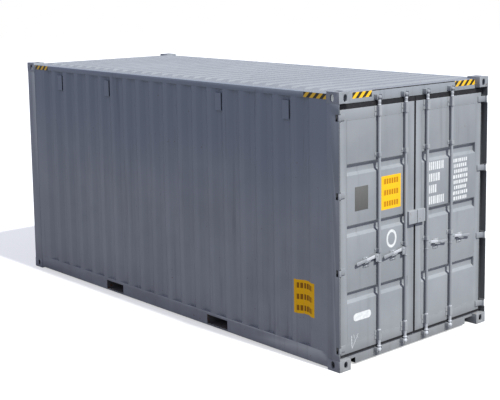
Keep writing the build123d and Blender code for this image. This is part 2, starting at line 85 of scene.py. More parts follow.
# %% [markdown]
# ## The camera
# The camera stands where the photographer stood: off the left corner of the doors and a
# metre above the roof, looking slightly down. A long lens keeps the far end nearly as tall
# as the near one. The photo is a crop from a wider picture, so the lens is shifted a little
# instead of turned. A turn would tip the upright posts, and a shift doesn't.

# %% Camera
CAMERA_PLACE = Vector((10.522, -8.864, 4.004))
CAMERA_HEADING, CAMERA_TILT, CAMERA_ROLL = 136.505, -7.877, math.radians(-0.479)
ahead = direction(CAMERA_HEADING, CAMERA_TILT)
level_right = ahead.cross(Vector((0, 0, 1))).normalized()
level_up = level_right.cross(ahead)
right = level_right * math.cos(CAMERA_ROLL) + level_up * math.sin(CAMERA_ROLL)
up = right.cross(ahead)
camera_data = bpy.data.cameras.new("camera")
camera_data.lens = 78.28
camera_data.sensor_width = 36.0
camera_data.shift_x = -0.10
camera_data.shift_y = -0.14
camera_data.clip_end = 200.0
camera = bpy.data.objects.new("camera", camera_data)
camera.matrix_world = Matrix((
    (right.x, up.x, -ahead.x, CAMERA_PLACE.x),
    (right.y, up.y, -ahead.y, CAMERA_PLACE.y),
    (right.z, up.z, -ahead.z, CAMERA_PLACE.z),
    (0, 0, 0, 1),
))
link(camera)
bpy.context.scene.camera = camera
print("the camera is", round(CAMERA_PLACE.length, 2), "m from the origin")

# %% [markdown]
# ## Nodes without tears
# Blender's materials are graphs of nodes. Wiring them by hand in Python is wordy, so
# these short helpers each add one node, set or link its inputs, and hand back the output
# that is wanted next. A value that is a socket is linked, and anything else is set.

# %% Node helpers
def feed(tree, socket, value):
    """Link a socket to another, or set its own value."""
    if isinstance(value, bpy.types.NodeSocket):
        tree.links.new(value, socket)
    else:
        socket.default_value = value


def maths(tree, operation, first, second=0.0):
    node = tree.nodes.new("ShaderNodeMath")
    node.operation = operation
    feed(tree, node.inputs[0], first)
    feed(tree, node.inputs[1], second)
    return node.outputs[0]


def times(tree, first, second):
    return maths(tree, "MULTIPLY", first, second)


def blend_colour(tree, share, first, second):
    node = tree.nodes.new("ShaderNodeMix")
    node.data_type = "RGBA"
    feed(tree, node.inputs[0], share)
    feed(tree, node.inputs[6], first)
    feed(tree, node.inputs[7], second)
    return node.outputs[2]


def stretch(tree, value, low, high, to_low=0.0, to_high=1.0):
    """Map a range of values to another and cut off what lies outside."""
    node = tree.nodes.new("ShaderNodeMapRange")
    node.interpolation_type = "SMOOTHSTEP"
    for name, setting in (
        ("Value", value), ("From Min", low), ("From Max", high),
        ("To Min", to_low), ("To Max", to_high),
    ):
        feed(tree, node.inputs[name], setting)
    return node.outputs[0]


def object_place(tree, drawn=None):
    """The point on the object in metres, scaled along its axes if wanted."""
    place = tree.nodes.new("ShaderNodeTexCoord").outputs["Object"]
    if drawn is None:
        return place
    node = tree.nodes.new("ShaderNodeMapping")
    feed(tree, node.inputs["Vector"], place)
    node.inputs["Scale"].default_value = drawn
    return node.outputs[0]


def noise(tree, scale, detail=3.0, roughness=0.55, drawn=None):
    node = tree.nodes.new("ShaderNodeTexNoise")
    feed(tree, node.inputs["Vector"], object_place(tree, drawn))
    feed(tree, node.inputs["Scale"], scale)
    node.inputs["Detail"].default_value = detail
    node.inputs["Roughness"].default_value = roughness
    return node.outputs["Fac"]


def axis_value(tree, axis):
    """The X, Y or Z of the point on the object."""
    node = tree.nodes.new("ShaderNodeSeparateXYZ")
    feed(tree, node.inputs[0], object_place(tree))
    return node.outputs[axis]


def off_middle(tree, value):
    """How far each repeat of a ramp is from its own middle, from 0 to 0.5."""
    return maths(tree, "ABSOLUTE", maths(tree, "SUBTRACT", maths(tree, "FRACT", value), 0.5))


print("node helpers are ready")

# %% [markdown]
# ## Effects as node groups
# Faded patches, rain streaks, chipped paint, road dirt and a sprayed skin turn up in
# nearly every finish of a container. Each is built once as a group with named inputs, so
# that one material can have a lot of it and another very little. The groups read Object
# coordinates, which are metres on the container, and so the grain has its true size.

# %% Start a node group
def start_group(name, inputs, outputs):
    """A group with float inputs, given with their usual values, and float outputs."""
    tree = bpy.data.node_groups.new(name, "ShaderNodeTree")
    for title, usual in inputs.items():
        socket = tree.interface.new_socket(title, in_out="INPUT", socket_type="NodeSocketFloat")
        socket.default_value = usual
    for title in outputs:
        tree.interface.new_socket(title, in_out="OUTPUT", socket_type="NodeSocketFloat")
    entry = tree.nodes.new("NodeGroupInput")
    result = tree.nodes.new("NodeGroupOutput")
    return tree, entry.outputs, result.inputs


# %% [markdown]
# ### Faded patches
# Sun and salt bleach the paint in soft clouds a metre or two across. Two sizes of noise
# added together do that. One size alone looks like camouflage.

# %% Faded patches
tree, given, result = start_group("faded patches", {"Scale": 1.2}, ["Share"])
small_scale = times(tree, given["Scale"], 5.3)
clouds = noise(tree, given["Scale"], 2.0)
specks = noise(tree, small_scale, 4.0)
both = maths(tree, "ADD", times(tree, specks, 0.35), clouds)
feed(tree, result["Share"], stretch(tree, both, 0.48, 0.88))
faded_patches = tree

# %% [markdown]
# ### Rain streaks
# Water runs straight down a wall and leaves narrow dark trails. A noise that is drawn out
# 28 times along Z gives long thin trails, and a second one breaks them up.

# %% Rain streaks
tree, given, result = start_group("rain streaks", {"Amount": 0.4}, ["Mask"])
trails = noise(tree, 1.0, 4.0, 0.6, drawn=(14, 14, 0.5))
gaps = noise(tree, 1.0, 2.0, drawn=(1.4, 1.4, 0.9))
breaks = stretch(tree, gaps, 0.4, 0.65)
trail_mask = times(tree, stretch(tree, trails, 0.5, 0.72), breaks)
feed(tree, result["Mask"], times(tree, trail_mask, given["Amount"]))
rain_streaks = tree

# %% [markdown]
# ### Chips and scuffs
# Paint comes off in sharp-edged flakes where things knock against it. Noise cut off hard
# near its peaks leaves small islands. A broad noise decides where they gather.

# %% Chips
tree, given, result = start_group("chips", {"Amount": 0.3, "Scale": 30.0}, ["Mask"])
flakes = noise(tree, given["Scale"], 5.0, 0.6)
gather = noise(tree, 2.1, 2.0)
bias = times(tree, stretch(tree, gather, 0.35, 0.7), given["Amount"])
raised = maths(tree, "ADD", flakes, times(tree, bias, 0.16))
feed(tree, result["Mask"], stretch(tree, raised, 0.715, 0.735))
chips = tree

# %% [markdown]
# ### Road dirt
# Spray and dust cling to the lowest part of the box. The height above the ground is just
# Z in Object coordinates, so a smooth ramp over Z times a noise is all that it takes.

# %% Road dirt
tree, given, result = start_group("road dirt", {"Height": 0.5, "Amount": 0.5}, ["Mask"])
height = axis_value(tree, "Z")
ramp = stretch(tree, height, 0.0, given["Height"], 1.0, 0.0)
patch = stretch(tree, noise(tree, 7.0, 5.0), 0.3, 0.7, 0.35, 1.0)
spread = times(tree, ramp, patch)
feed(tree, result["Mask"], times(tree, spread, given["Amount"]))
road_dirt = tree

# %% [markdown]
# ### Sprayed skin
# Thick container paint has a fine orange peel, and the thin sheets under it are never
# quite flat. The group puts out one height for a Bump node: fine grain and slow dents.

# %% Sprayed skin
tree, given, result = start_group("sprayed skin", {"Grain": 1.0, "Dents": 1.0}, ["Height"])
peel = times(tree, noise(tree, 420.0, 2.0), given["Grain"])
slow = times(tree, noise(tree, 2.6, 1.0), given["Dents"])
feed(tree, result["Height"], maths(tree, "ADD", times(tree, peel, 0.12), slow))
sprayed_skin = tree
print("groups:", ", ".join(group.name for group in bpy.data.node_groups))

# %% [markdown]
# ## Paint on steel
# One function makes every painted finish. The colour starts as the paint, fades in
# patches, darkens in streaks, browns near the ground and ends in rusty chips. It can also
# carry painted shade: a darker, bluer tone towards the top, and a dark door post channel.
# Roughness follows the same masks: dust is dull, and fresh paint shines a bit.

# %% Painted steel
def place_group(tree, group, **settings):
    node = tree.nodes.new("ShaderNodeGroup")
    node.node_tree = group
    for title, value in settings.items():
        node.inputs[title].default_value = value
    return node.outputs[0]


def start_material(name, roughness=0.5, metallic=0.0):
    material = bpy.data.materials.new(name)
    material.use_nodes = True
    shader = material.node_tree.nodes["Principled BSDF"]
    shader.inputs["Roughness"].default_value = roughness
    shader.inputs["Metallic"].default_value = metallic
    return material, material.node_tree, shader


def dress(tree, shader, tone, height, distance, roughness=None):
    """Give a shader its colour, a bump from a height, and a roughness if it varies."""
    feed(tree, shader.inputs["Base Color"], tone)
    if roughness is not None:
        feed(tree, shader.inputs["Roughness"], roughness)
    node = tree.nodes.new("ShaderNodeBump")
    node.inputs["Distance"].default_value = distance
    feed(tree, node.inputs["Height"], height)
    feed(tree, shader.inputs["Normal"], node.outputs["Normal"])


def colour(red, green, blue):
    return (red, green, blue, 1.0)


RUST = colour(0.13, 0.055, 0.028)
MUD = colour(0.16, 0.15, 0.135)
# Dark grey for rain grime, and also for the painted shade in the door posts' channels.
GRIME_AND_SHADE = colour(0.055, 0.058, 0.062)
# The paint turns to its top tone between these heights. The top tone is painted shade.
TOP_STARTS, TOP_ENDS = 1.7, 3.0
# Where a door post's channel lies. There the paint darkens as painted shade.
CHANNEL_Y, CHANNEL_X = (1.2105, 1.2118), (2.935, 2.949)


def painted(name, paint, faded, roughness=0.42, streaks=0.35, chipped=0.05, dirt=0.35,
            dents=1.0, top=None, channel=0.0):
    """Paint with its wear.

    It can turn to another tone towards the top, which is painted shade. A door post's
    channel, which lies inside its side plate and behind its face, is darkened as painted shade.
    """
    material, tree, shader = start_material(name)
    tone = blend_colour(tree, place_group(tree, faded_patches), paint, faded)
    # Towards the top the paint turns to another tone, which is painted shade.
    if top is not None:
        cloudy = times(tree, noise(tree, 0.9, 3.0), 0.9)
        height = maths(tree, "ADD", axis_value(tree, "Z"), cloudy)
        tone = blend_colour(tree, stretch(tree, height, TOP_STARTS, TOP_ENDS), tone, top)
    # A door post's channel is darkened here as painted shade.
    if channel:
        aside = maths(tree, "ABSOLUTE", axis_value(tree, "Y"))
        inward = stretch(tree, aside, *CHANNEL_Y, channel, 0.0)
        front = stretch(tree, axis_value(tree, "X"), *CHANNEL_X)
        tone = blend_colour(tree, times(tree, inward, front), tone, GRIME_AND_SHADE)
    streak = place_group(tree, rain_streaks, Amount=streaks)
    tone = blend_colour(tree, streak, tone, GRIME_AND_SHADE)
    mud = place_group(tree, road_dirt, Amount=dirt)
    tone = blend_colour(tree, mud, tone, MUD)
    chip = place_group(tree, chips, Amount=chipped)
    tone = blend_colour(tree, chip, tone, RUST)
    dull = maths(tree, "ADD", times(tree, mud, 0.3), roughness)
    dull = maths(tree, "ADD", times(tree, chip, 0.35), dull)
    dress(tree, shader, tone, place_group(tree, sprayed_skin, Dents=dents), 1.5 * MM, dull)
    return material


GREY_PAINT = colour(0.228, 0.244, 0.262)
GREY_FADED = colour(0.262, 0.278, 0.296)
finish = {}
for name, paint, faded, wear in (
    # Each top tone is painted shade towards the top of the walls and the frame.
    ("wall_paint", GREY_PAINT, GREY_FADED, dict(dents=2.0, top=colour(0.180, 0.208, 0.242))),
    ("door_paint", colour(0.217, 0.232, 0.249), colour(0.249, 0.264, 0.281),
     dict(roughness=0.38, streaks=0.2, dirt=0.25)),
    ("roof_paint", colour(0.200, 0.216, 0.234), colour(0.223, 0.239, 0.256),
     dict(roughness=0.5, streaks=0.0)),
    ("frame_paint", GREY_PAINT, GREY_FADED,
     dict(streaks=0.3, chipped=0.2, top=colour(0.228, 0.245, 0.265))),
    # The door posts' paint darkens in their channels, which is painted shade.
    ("post_paint", colour(0.208, 0.224, 0.238), colour(0.240, 0.256, 0.270),
     dict(streaks=0.3, chipped=0.2, top=colour(0.195, 0.216, 0.240), channel=0.88)),
    ("gear", GREY_PAINT, colour(0.30, 0.315, 0.33),
     dict(roughness=0.4, streaks=0.2, chipped=0.35, dirt=0.2, dents=0.3)),
    ("underframe", colour(0.035, 0.037, 0.04), colour(0.06, 0.06, 0.06),
     dict(roughness=0.6, streaks=0.3, chipped=0.9, dirt=0.8)),
):
    finish[name] = painted(name, paint, faded, **wear)
print("painted finishes:", ", ".join(finish))

# %% [markdown]
# ## Castings
# Corner fittings are cast steel. Under the paint the skin is coarse like sand, and the
# faces that meet cranes and trucks are scraped to bare metal, which then rusts.

# %% Cast steel
def cast_steel(name, paint):
    material, tree, shader = start_material(name, 0.5)
    tone = blend_colour(tree, place_group(tree, faded_patches, Scale=4.0), paint, GREY_FADED)
    scrape = place_group(tree, chips, Amount=0.8, Scale=22.0)
    bare = stretch(tree, noise(tree, 60.0, 3.0), 0.35, 0.65)
    worn = blend_colour(tree, bare, colour(0.10, 0.075, 0.06), colour(0.20, 0.19, 0.18))
    tone = blend_colour(tree, scrape, tone, worn)
    tone = blend_colour(tree, place_group(tree, road_dirt, Height=0.3, Amount=0.4), tone, MUD)
    sand = maths(tree, "ADD", noise(tree, 260.0, 4.0), noise(tree, 40.0, 2.0))
    dress(tree, shader, tone, sand, 0.7 * MM, stretch(tree, scrape, 0.0, 1.0, 0.5, 0.72))
    return material


finish["fitting"] = cast_steel("fitting", GREY_PAINT)

# %% [markdown]
# ## Bare and zinc-coated steel
# The lock gear is dipped in zinc and then painted over with the doors. Hands, keepers and
# catches rub it bright again. On the handles that bright rubbed band is also a painted
# highlight, standing in for the sun's reflection. The metal share of the shader follows
# the same mask as the colour, so paint stays paint and zinc stays metal.

# %% Zinc and worn zinc
ZINC = colour(0.66, 0.68, 0.70)
BARE_FOOT, PAINTED_TOP = (0.31, 0.34), (2.765, 2.775)
INNER_ROD, ROD_SPACING = 0.178, 0.4189


def zinc(name, paint, bright_share, wear_scale=16.0, spotted=0.6, ends=False, rubbed_and_highlit=False):
    """Zinc with a film of paint over part of it. A bright share of 1 leaves it all bare.

    A rod is bare at its foot, and a handle in a band where hands and its catch rub it.
    That band is also a painted highlight, standing in for the sun's reflection.
    """
    material, tree, shader = start_material(name)
    spangle = noise(tree, 75.0, 2.0)
    metal = blend_colour(tree, stretch(tree, spangle, 0.3, 0.7), ZINC, colour(0.54, 0.56, 0.59))
    cut = 0.75 - 0.5 * bright_share
    bare = stretch(tree, noise(tree, wear_scale, 5.0, 0.6), cut - 0.05, cut + 0.05)
    if ends:
        height = axis_value(tree, "Z")
        bare = maths(tree, "MAXIMUM", bare, stretch(tree, height, *BARE_FOOT, 1.0, 0.0))
        bare = times(tree, bare, stretch(tree, height, *PAINTED_TOP, 1.0, 0.0))
    # A band on each handle, bare where it is rubbed and bright as a painted highlight.
    if rubbed_and_highlit:
        aside = maths(tree, "ABSOLUTE", axis_value(tree, "Y"))
        spans = maths(tree, "DIVIDE", maths(tree, "SUBTRACT", aside, INNER_ROD), ROD_SPACING)
        from_rod = maths(tree, "FRACT", spans)
        begun = stretch(tree, from_rod, 0.15, 0.20)
        worn = times(tree, begun, stretch(tree, from_rod, 0.42, 0.48, 1.0, 0.0))
        bare = maths(tree, "MAXIMUM", bare, worn)
    tone = blend_colour(tree, bare, paint, metal)
    tone = blend_colour(tree, place_group(tree, chips, Amount=spotted, Scale=45.0), tone, RUST)
    feed(tree, shader.inputs["Metallic"], times(tree, bare, 0.4))
    dull = stretch(tree, spangle, 0.3, 0.7, 0.34, 0.5)
    dress(tree, shader, tone, noise(tree, 180.0, 3.0), 0.25 * MM, dull)
    return material


finish["galvanised"] = zinc("galvanised", GREY_FADED, 0.0, 5.0, 0.15, ends=True)
bright_zinc = zinc("bright_zinc", colour(0.42, 0.44, 0.46), 0.85, spotted=0.2)
# The handles' zinc has a bright band that is rubbed wear and painted highlight.
rubbed_and_highlit_zinc = zinc("rubbed_and_highlit_zinc", GREY_FADED, 0.25, 9.0, 0.2, rubbed_and_highlit=True)
print("metal finishes made")

# %% [markdown]
# ## Rubber and plywood
# The door seals are black rubber with a dry bloom. The floor is plywood: long sheets with
# a fine grain along the container, darkened by tyres. Grain comes from a noise that is
# squeezed across the length, and the joints between sheets from a repeating ramp.

# %% Rubber
material, tree, shader = start_material("rubber", 0.62)
bloom = stretch(tree, noise(tree, 30.0, 4.0), 0.45, 0.75)
tone = blend_colour(tree, bloom, colour(0.006, 0.006, 0.007), colour(0.016, 0.016, 0.017))
dress(tree, shader, tone, noise(tree, 350.0, 2.0), 0.3 * MM)
finish["rubber"] = material

# %% Plywood floor
SHEET_LENGTH = 1.22
material, tree, shader = start_material("plywood", 0.55)
grain = noise(tree, 1.0, 5.0, 0.65, drawn=(2.0, 60.0, 60.0))
tone = blend_colour(tree, grain, colour(0.16, 0.085, 0.045), colour(0.36, 0.22, 0.12))
tyre = stretch(tree, noise(tree, 1.0, 4.0, drawn=(0.6, 5.0, 1.0)), 0.48, 0.7)
tone = blend_colour(tree, times(tree, tyre, 0.6), tone, colour(0.05, 0.04, 0.035))
along = maths(tree, "ADD", axis_value(tree, "X"), 100.0)
joint = stretch(tree, off_middle(tree, maths(tree, "DIVIDE", along, SHEET_LENGTH)), 0.496, 0.4985)
tone = blend_colour(tree, joint, tone, colour(0.02, 0.016, 0.014))
relief = maths(tree, "SUBTRACT", times(tree, grain, 0.3), joint)
dress(tree, shader, tone, relief, 1.0 * MM, stretch(tree, tyre, 0.0, 1.0, 0.6, 0.42))
finish["plywood"] = material
print("finishes:", ", ".join(sorted(finish)))

# %% [markdown]
# ## Hand out the finishes
# Each CAD piece has a slot in its record, such as wall_paint, and gets the material of
# that name. Its shape stays as it is.

# %% Materials on the CAD pieces
slot_of = {row["node"]: row["material_slot"] for row in frame["record"]["subparts"]}
for name, piece in frame["nodes"].items():
    piece.data.materials.clear()
    piece.data.materials.append(finish[slot_of[name]])
print(len(slot_of), "pieces have their finish")

# %% [markdown]
# ## Tools for new pieces
# New pieces are modelled with bmesh operators, which do what the editor's own tools do.
# The helpers below start a box, a disc or an outline, and `keep` turns a finished bmesh
# into an object that rides on a body of the frame.

# %% Modelling helpers
def sharp_edges(verts, least=25.0):
    """The edges at some corners whose two faces meet at more than an angle."""
    edges = dict.fromkeys(edge for vert in verts for edge in vert.link_edges)
    limit = math.radians(least)
    return [e for e in edges if e.is_manifold and e.calc_face_angle(0.0) > limit]


def bevel(bm, edges, width, segments):
    bmesh.ops.bevel(
        bm, geom=edges, offset=width, offset_type="OFFSET", segments=segments,
        profile=0.5, affect="EDGES", material=-1, clamp_overlap=True,
    )


def soften(bm, verts, width, segments=2, least=25.0):
    edges = sharp_edges(verts, least)
    if edges and width > 0:
        bevel(bm, edges, width, segments)


def add_box(bm, low, high, round_off=0.0, segments=2):
    """A box between two corners, with softened edges."""
    low, high = Vector(low), Vector(high)
    size = Matrix.Diagonal(high - low).to_4x4()
    matrix = Matrix.Translation((low + high) / 2) @ size
    made = bmesh.ops.create_cube(bm, size=1.0, matrix=matrix)["verts"]
    soften(bm, made, round_off, segments)


def upright(x, y, z):
    return Matrix.Translation((x, y, z))


def facing_x(x, y, z):
    """A turn that lays an upright disc so that it faces along X."""
    return Matrix.Translation((x, y, z)) @ Matrix.Rotation(math.pi / 2, 4, "Y")


def add_disc(bm, matrix, radius, height, sides=24, round_off=0.0):
    """A disc or rod round the matrix's own Z, centred on it, with softened rims."""
    made = bmesh.ops.create_cone(
        bm, cap_ends=True, segments=sides, radius1=radius, radius2=radius, depth=height,
        matrix=matrix,
    )["verts"]
    soften(bm, made, round_off, least=50.0)


def lift(bm, extruded, along):
    """Move the corners that an extrusion has made, and hand them back."""
    made = [item for item in extruded["geom"] if isinstance(item, bmesh.types.BMVert)]
    bmesh.ops.translate(bm, verts=made, vec=Vector(along))
    return made


def add_outline(bm, points, drawn, round_off=0.0, segments=2):
    """A flat outline, given by its corners, drawn out along a vector."""
    corners = [bm.verts.new(point) for point in points]
    face = bm.faces.new(corners)
    moved = lift(bm, bmesh.ops.extrude_face_region(bm, geom=[face]), drawn)
    bm.normal_update()
    soften(bm, corners + moved, round_off, segments)


def keep(name, bm, body, slot=None, material=None, stands_for=(), smooth=32.0):
    """Turn a bmesh into a piece that rides on a body, in its slot's finish or another."""
    bmesh.ops.remove_doubles(bm, verts=bm.verts, dist=1e-6)
    bmesh.ops.recalc_face_normals(bm, faces=bm.faces)
    mesh = bpy.data.meshes.new(name)
    bm.to_mesh(mesh)
    bm.free()
    mesh.materials.append(material or finish[slot])
    mesh.shade_smooth()
    mesh.set_sharp_from_angle(angle=math.radians(smooth))
    piece = bpy.data.objects.new(name, mesh)
    link(piece)
    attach(piece, body)
    if stands_for:
        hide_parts(*stands_for)
    return piece


print("modelling helpers are ready")

# %% [markdown]
# ## Edges that catch the light
# No steel edge is perfectly sharp. The castings have a radius of some millimetres, and
# pressed or welded sections have a smaller one. A copy of the CAD mesh is cleaned up, its
# triangles are joined into flat faces, and every sharp edge gets a small bevel.

# %% Softened copies of CAD pieces
def softened(node, name, width, segments=2, least=30.0, across=None, material=None):
    """A copy of a CAD piece with rounded edges, which then stands for it.

    A pressed sheet is rounded only at its bends: the edges whose two faces both look
    partly along the axis across the sheet.
    """
    source = frame["nodes"][node]
    bm = bmesh.new()
    bm.from_mesh(source.data)
    bmesh.ops.remove_doubles(bm, verts=bm.verts, dist=2e-5)
    bmesh.ops.dissolve_limit(bm, angle_limit=math.radians(0.6), verts=bm.verts, edges=bm.edges)
    edges = sharp_edges(bm.verts, least)
    if across is not None:
        edges = [e for e in edges if all(abs(f.normal[across]) > 0.3 for f in e.link_faces)]
    bevel(bm, edges, width, segments)
    return keep(name, bm, source["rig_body"], slot_of[node], material, [node], 40.0)


castings = []
for node in sorted(frame["nodes"]):
    if node.startswith("fitting_"):
        castings.append(softened(node, node.replace("fitting", "casting"), 4 * MM, 3))
print(len(castings), "castings with", sum(len(c.data.polygons) for c in castings), "faces")

# %% [markdown]
# The leaves' tube frames and the hinge blades get the same treatment with a smaller
# radius, so that their long edges show as thin bright lines.

# %% Door frames and hinges
SIDES = (("left", -1), ("right", 1))
for side, _ in SIDES:
    softened(f"{side}_door_frame", f"{side}_leaf_frame", 3 * MM)
    softened(f"{side}_door_hinges", f"{side}_hinge_blades", 1.5 * MM)
print("leaf frames and hinges softened")

# %% [markdown]
# Pressed sheets never have sharp bends. A wider bevel along the bends alone rounds them,
# and the cut edges of the sheet stay sharp, because they are cut. The posts, rails, sills
# and headers are rolled or folded, and a bevel of about a millimetre is enough.

# %% Sheets and frame
for node, width, across in (
    ("side_wall_left", 5, 1), ("side_wall_right", 5, 1), ("front_wall", 5, 0), ("roof", 8, 2),
    ("left_door_panel", 4, 0), ("right_door_panel", 4, 0),
):
    softened(node, f"{node}_sheet", width * MM, 3, 12.0, across)
FRAME_PIECES = ("post", "top_rail", "bottom_rail", "header", "sill")
for node in sorted(frame["nodes"]):
    if any(word in node for word in FRAME_PIECES):
        # Door posts take post_paint, which carries painted shade in the channels and at the top.
        tone = {"door_post": "post_paint", "top_rail_": "wall_paint"}.get(node[:9])
        softened(node, f"{node}_steel", 1.3 * MM, material=finish.get(tone))
print("sheets and frame softened")

# %% [markdown]
# ## Lock rods
# A lock rod is a tube that turns in its guides. Forged cams at both ends swing into the
# keepers and pull the leaf tight. The tube is one long disc, each cam is two discs and a
# block across them, and two cheeks hold the handle. The rod's axis comes from its joint in
# the frame, so it can't be off centre. A collar is given by its height and its radius.

# %% Lock rods
ROD_RADIUS, ROD_FOOT, ROD_TOP = 17 * MM, 84 * MM, 2818 * MM
CAM_HEIGHT, CAM_RADIUS, CAM_HUB = 34 * MM, 26 * MM, 21 * MM
CAM_REACH, CAM_HALF = 25.5 * MM, 8 * MM
COLLARS = ((140, 24), (318, 20), (2718, 20), (2757, 20))
CHEEK_SIDE, CHEEK_HALF, CHEEK_REACH = 7.5 * MM, 2.5 * MM, 58 * MM
joint_of = {joint["child"]: joint for joint in frame["joints"]}
rod_places = [Vector(joint_of[f"lock_rod_{i}"]["pos_m"]) for i in (1, 2, 3, 4)]
HANDLE_LEVEL = joint_of["handle_1"]["pos_m"][2]
PIN_OFFSET = 36 * MM
DOOR_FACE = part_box("left_door_frame")[1].x


def outward(place):
    """-1 on the left leaf and 1 on the right one."""
    return -1.0 if place.y < 0 else 1.0


def add_cam(bm, x, y, foot):
    middle = foot + CAM_HEIGHT / 2
    add_disc(bm, upright(x, y, middle), CAM_RADIUS, CAM_HEIGHT * 0.7, 28, 3 * MM)
    add_disc(bm, upright(x, y, middle), CAM_HUB, CAM_HEIGHT, 24, 2 * MM)
    low = (x - CAM_REACH, y - CAM_HALF, foot + 2 * MM)
    high = (x + CAM_REACH, y + CAM_HALF, foot + CAM_HEIGHT - 2 * MM)
    add_box(bm, low, high, 3 * MM)


for number, place in enumerate(rod_places, 1):
    bm = bmesh.new()
    body = f"lock_rod_{number}"
    x, y = place.x, place.y
    middle = upright(x, y, (ROD_FOOT + ROD_TOP) / 2)
    add_disc(bm, middle, ROD_RADIUS, ROD_TOP - ROD_FOOT, 28, 2 * MM)
    for rise in (-70 * MM, 30 * MM):
        add_disc(bm, upright(x, y, HANDLE_LEVEL + rise), 21 * MM, 12 * MM, 24, 3 * MM)
    reach = y + outward(place) * CHEEK_REACH
    for cheek in (x - CHEEK_SIDE, x + CHEEK_SIDE):
        low = (cheek - CHEEK_HALF, min(y, reach), HANDLE_LEVEL - 62 * MM)
        high = (cheek + CHEEK_HALF, max(y, reach), HANDLE_LEVEL + 22 * MM)
        add_box(bm, low, high, 1.5 * MM)
    pin = y + outward(place) * PIN_OFFSET
    add_disc(bm, facing_x(x, pin, HANDLE_LEVEL), 5.9 * MM, 26 * MM, 16, 1 * MM)
    add_disc(bm, facing_x(x + 12 * MM, pin, HANDLE_LEVEL), 9 * MM, 4 * MM, 16, 1.5 * MM)
    keep(f"locking_rod_{number}", bm, body, "galvanised", stands_for=[body])
    bm = bmesh.new()
    add_cam(bm, x, y, ROD_FOOT)
    for level, radius in COLLARS:
        add_disc(bm, upright(x, y, level * MM), radius * MM, 11 * MM, 24, 2.5 * MM)
    keep(f"rod_cams_{number}", bm, body, "galvanised", bright_zinc)
    bm = bmesh.new()
    add_cam(bm, x, y, ROD_TOP - CAM_HEIGHT)
    keep(f"rod_top_cam_{number}", bm, body, "galvanised")
print("rods at", [round(place.y, 3) for place in rod_places])

# %% [markdown]
# ## Handles
# Each handle is a flat forged bar on a pin, and it droops to its catch. It is made level
# along its own length first, with a full round end and a waist for the hand, and turned
# to its droop at the end. Turning last keeps every size easy to read.

# %% Handles
HANDLE_DROOP = math.radians(7.5)
HANDLE_REACH, HANDLE_HALF, HANDLE_THICK = 314 * MM, 19 * MM, 9 * MM
for number, place in enumerate(rod_places, 1):
    side = outward(place)
    bm = bmesh.new()
    tip = HANDLE_REACH - HANDLE_HALF
    outline = [(0.0, HANDLE_HALF), (0.11, HANDLE_HALF * 0.78), (0.2, HANDLE_HALF * 0.78),
               (tip, HANDLE_HALF), (tip + 0.012, HANDLE_HALF * 0.85), (tip + 0.019, 0.0)]
    mirrored = [(a, -b) for a, b in reversed(outline[:-1])]
    root = [(-0.013, -HANDLE_HALF * 0.72), (-0.019, 0.0), (-0.013, HANDLE_HALF * 0.72)]
    ring = outline + mirrored + root
    add_outline(bm, [(-HANDLE_THICK / 2, a, b) for a, b in ring], (HANDLE_THICK, 0, 0), 2.5 * MM)
    droop = Matrix.Rotation(-HANDLE_DROOP, 4, "X")
    flip = Matrix.Diagonal((1, side, 1, 1))
    pin = Matrix.Translation((place.x, place.y + side * PIN_OFFSET, HANDLE_LEVEL))
    bmesh.ops.transform(bm, matrix=pin @ flip @ droop, verts=bm.verts)
    body = f"handle_{number}"
    # The handle's bright band is partly rubbed zinc and partly painted highlight.
    keep(f"handle_bar_{number}", bm, body, "galvanised", rubbed_and_highlit_zinc, [body])
print("handles droop by", round(math.degrees(HANDLE_DROOP), 1), "degrees")

# %% [markdown]
# ## Guides, catches and the padlock box
# Four guides hold each rod to its leaf: a pressed strap over the rod and a foot on each
# side with a bolt. The two at the ends are tall and the two between are short. The strap
# is an outline seen from above, drawn up by its height and softened. A guide is given by
# the height of its middle and its own height. The bolts are six-sided discs on washers.

# %% Guides and bolts
GUIDES = ((0.261, 0.100), (1.180, 0.044), (2.200, 0.044), (2.656, 0.100))
GUIDE_WALL, GUIDE_FOOT = 5 * MM, 24 * MM
GUIDE_INNER = ROD_RADIUS + 0.3 * MM


def add_bolt(bm, x, y, z, size):
    """A washer and a six-sided head that face along X."""
    add_disc(bm, facing_x(x + 1 * MM, y, z), size * 1.25, 2 * MM, 12)
    add_disc(bm, facing_x(x + 4.5 * MM, y, z), size, 5 * MM, 6, 0.8 * MM)


def rods_of(sign):
    """The places of the two rods on one leaf, by the leaf's sign."""
    return [place for place in rod_places if outward(place) == sign]


def guide_outline(place):
    """A guide seen from above, from its foot on one side over the rod to the other."""
    outer, bend = GUIDE_INNER + GUIDE_WALL, 7 * MM
    crown, edge = place.x + outer, DOOR_FACE + GUIDE_WALL
    half = [
        (DOOR_FACE, outer + GUIDE_FOOT), (edge, outer + GUIDE_FOOT), (edge, outer),
        (crown - bend, outer), (crown - bend / 3, outer - bend / 3), (crown, outer - bend),
    ]
    inner = [(DOOR_FACE, GUIDE_INNER), (crown - GUIDE_WALL, GUIDE_INNER)]
    ring = half + [(x, -y) for x, y in reversed(half)]
    ring += [(x, -y) for x, y in inner] + list(reversed(inner))
    return [(x, place.y + y) for x, y in ring]


for side, sign in SIDES:
    body = f"{side}_door"
    bm = bmesh.new()
    bolts = bmesh.new()
    for place in rods_of(sign):
        ring = guide_outline(place)
        off = GUIDE_INNER + GUIDE_WALL + GUIDE_FOOT / 2 + 1 * MM
        for level, tall in GUIDES:
            foot = level - tall / 2
            add_outline(bm, [(x, y, foot) for x, y in ring], (0, 0, tall), 1 * MM, 1)
            for spot in (place.y - off, place.y + off):
                add_bolt(bolts, DOOR_FACE + GUIDE_WALL, spot, level, 7 * MM)
    keep(f"{side}_rod_guides", bm, body, "gear", stands_for=[f"{side}_door_fittings"])
    keep(f"{side}_guide_bolts", bolts, body, "gear")
print("guides at", [level for level, _ in GUIDES])

